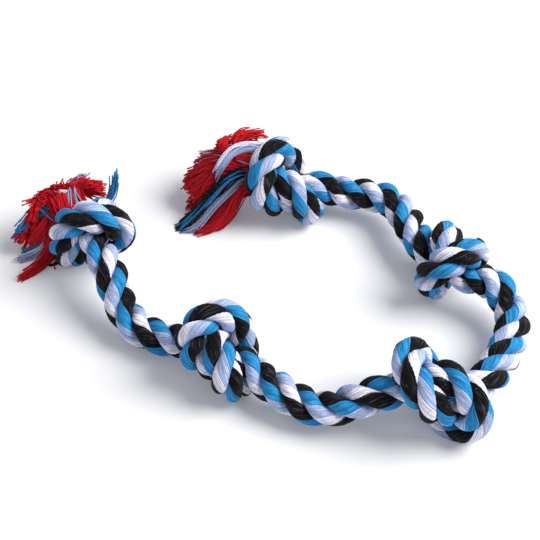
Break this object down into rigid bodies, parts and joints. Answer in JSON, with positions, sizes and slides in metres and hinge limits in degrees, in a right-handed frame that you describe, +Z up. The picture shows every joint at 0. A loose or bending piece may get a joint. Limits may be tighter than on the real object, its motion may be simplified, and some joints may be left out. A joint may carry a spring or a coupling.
{
  "type": "rope dog toy",
  "caption": "Laid cotton rope tug toy for dogs, tied in a row of overhand knots, with a frayed tassel at each end. It lies in an open hook shape.",
  "frame": {"origin": "middle of the underside, on the surface that the knots rest on", "axes": "+Z up from that surface, +X across the hook's length to the right, +Y away from the viewer"},
  "size_m": [0.4158, 0.2968, 0.0785],
  "materials": {
    "cotton_cover_a": "matt twisted cotton",
    "cotton_cover_b": "matt twisted cotton",
    "cotton_cover_c": "matt twisted cotton",
    "red_core_yarn": "matt loose cotton yarn",
    "blue_yarn": "matt loose cotton yarn",
    "white_yarn": "matt loose cotton yarn",
    "lavender_yarn": "matt loose cotton yarn",
    "black_yarn": "matt loose cotton yarn"
  },
  "bodies": {
    "knot_1": {"knot_1_strand_a": "cotton_cover_a", "knot_1_strand_b": "cotton_cover_b", "knot_1_strand_c": "cotton_cover_c"},
    "knot_2": {"knot_2_strand_a": "cotton_cover_a", "knot_2_strand_b": "cotton_cover_b", "knot_2_strand_c": "cotton_cover_c"},
    "knot_3": {"knot_3_strand_a": "cotton_cover_a", "knot_3_strand_b": "cotton_cover_b", "knot_3_strand_c": "cotton_cover_c"},
    "knot_4": {"knot_4_strand_a": "cotton_cover_a", "knot_4_strand_b": "cotton_cover_b", "knot_4_strand_c": "cotton_cover_c"},
    "knot_5": {"knot_5_strand_a": "cotton_cover_a", "knot_5_strand_b": "cotton_cover_b", "knot_5_strand_c": "cotton_cover_c"},
    "stretch_1_near": {"stretch_1_near_strand_a": "cotton_cover_a", "stretch_1_near_strand_b": "cotton_cover_b", "stretch_1_near_strand_c": "cotton_cover_c"},
    "stretch_1_far": {"stretch_1_far_strand_a": "cotton_cover_a", "stretch_1_far_strand_b": "cotton_cover_b", "stretch_1_far_strand_c": "cotton_cover_c"},
    "stretch_2_near": {"stretch_2_near_strand_a": "cotton_cover_a", "stretch_2_near_strand_b": "cotton_cover_b", "stretch_2_near_strand_c": "cotton_cover_c"},
    "stretch_2_far": {"stretch_2_far_strand_a": "cotton_cover_a", "stretch_2_far_strand_b": "cotton_cover_b", "stretch_2_far_strand_c": "cotton_cover_c"},
    "stretch_3_near": {"stretch_3_near_strand_a": "cotton_cover_a", "stretch_3_near_strand_b": "cotton_cover_b", "stretch_3_near_strand_c": "cotton_cover_c"},
    "stretch_3_far": {"stretch_3_far_strand_a": "cotton_cover_a", "stretch_3_far_strand_b": "cotton_cover_b", "stretch_3_far_strand_c": "cotton_cover_c"},
    "stretch_4_near": {"stretch_4_near_strand_a": "cotton_cover_a", "stretch_4_near_strand_b": "cotton_cover_b", "stretch_4_near_strand_c": "cotton_cover_c"},
    "stretch_4_far": {"stretch_4_far_strand_a": "cotton_cover_a", "stretch_4_far_strand_b": "cotton_cover_b", "stretch_4_far_strand_c": "cotton_cover_c"},
    "tassel_1": {"tassel_1_red_core_a": "red_core_yarn", "tassel_1_blue_lock": "blue_yarn", "tassel_1_red_core_b": "red_core_yarn", "tassel_1_white_lock": "white_yarn", "tassel_1_lavender_lock": "lavender_yarn", "tassel_1_red_core_c": "red_core_yarn", "tassel_1_black_lock": "black_yarn"},
    "tassel_2": {"tassel_2_red_core_a": "red_core_yarn", "tassel_2_blue_lock": "blue_yarn", "tassel_2_red_core_b": "red_core_yarn", "tassel_2_white_lock": "white_yarn", "tassel_2_lavender_lock": "lavender_yarn", "tassel_2_red_core_c": "red_core_yarn", "tassel_2_black_lock": "black_yarn"}
  },
  "joints": [
    {"name": "bend_knot_1_out", "type": "hinge", "parent": "stretch_1_near", "child": "knot_1", "pos_m": [-0.12589, 0.00539, 0.04252], "axis": [0, 0, -1], "range_deg": [-30, 30]},
    {"name": "bend_knot_2_in", "type": "hinge", "parent": "knot_2", "child": "stretch_1_far", "pos_m": [-0.06459, -0.05597, 0.02252], "axis": [0, 0, 1], "range_deg": [-15, 30]},
    {"name": "bend_stretch_1", "type": "hinge", "parent": "stretch_1_far", "child": "stretch_1_near", "pos_m": [-0.10652, -0.03399, 0.02096], "axis": [0.7956, 0.6058, 0], "range_deg": [-30, 30]},
    {"name": "bend_knot_2_out", "type": "hinge", "parent": "stretch_2_near", "child": "knot_2", "pos_m": [0.00779, -0.10552, 0.02748], "axis": [0, 0, -1], "range_deg": [-30, 10]},
    {"name": "bend_knot_3_in", "type": "hinge", "parent": "knot_3", "child": "stretch_2_far", "pos_m": [0.08385, -0.12293, 0.03574], "axis": [0, 0, 1], "range_deg": [-8, 30]},
    {"name": "bend_stretch_2", "type": "hinge", "parent": "stretch_2_far", "child": "stretch_2_near", "pos_m": [0.04458, -0.12431, 0.02021], "axis": [0.1956, 0.9807, 0], "range_deg": [-30, 30]},
    {"name": "bend_knot_3_out", "type": "hinge", "parent": "knot_3", "child": "stretch_3_near", "pos_m": [0.1694, -0.10082, 0.02919], "axis": [0, 0, 1], "range_deg": [-30, 8]},
    {"name": "bend_knot_4_in", "type": "hinge", "parent": "stretch_3_far", "child": "knot_4", "pos_m": [0.18222, -0.0112, 0.03901], "axis": [0, 0, -1], "range_deg": [-15, 30]},
    {"name": "bend_stretch_3", "type": "hinge", "parent": "stretch_3_near", "child": "stretch_3_far", "pos_m": [0.1918, -0.0554, 0.02521], "axis": [-0.9545, 0.2983, 0], "range_deg": [-30, 30]},
    {"name": "bend_knot_4_out", "type": "hinge", "parent": "knot_4", "child": "stretch_4_near", "pos_m": [0.12464, 0.05531, 0.03099], "axis": [0, 0, 1], "range_deg": [-30, 25]},
    {"name": "bend_knot_5_in", "type": "hinge", "parent": "stretch_4_far", "child": "knot_5", "pos_m": [0.06414, 0.10972, 0.02523], "axis": [0, 0, -1], "range_deg": [-30, 30]},
    {"name": "bend_stretch_4", "type": "hinge", "parent": "stretch_4_near", "child": "stretch_4_far", "pos_m": [0.10638, 0.09555, 0.02594], "axis": [-0.6498, -0.7601, 0], "range_deg": [-30, 30]},
    {"name": "swing_tassel_1", "type": "hinge", "parent": "knot_1", "child": "tassel_1", "pos_m": [-0.16392, 0.07624, 0.03342], "axis": [0, 0, 1], "range_deg": [-25, 25]},
    {"name": "swing_tassel_2", "type": "hinge", "parent": "knot_5", "child": "tassel_2", "pos_m": [-0.01605, 0.11626, 0.0422], "axis": [0, 0, 1], "range_deg": [-25, 25]}
  ]
}
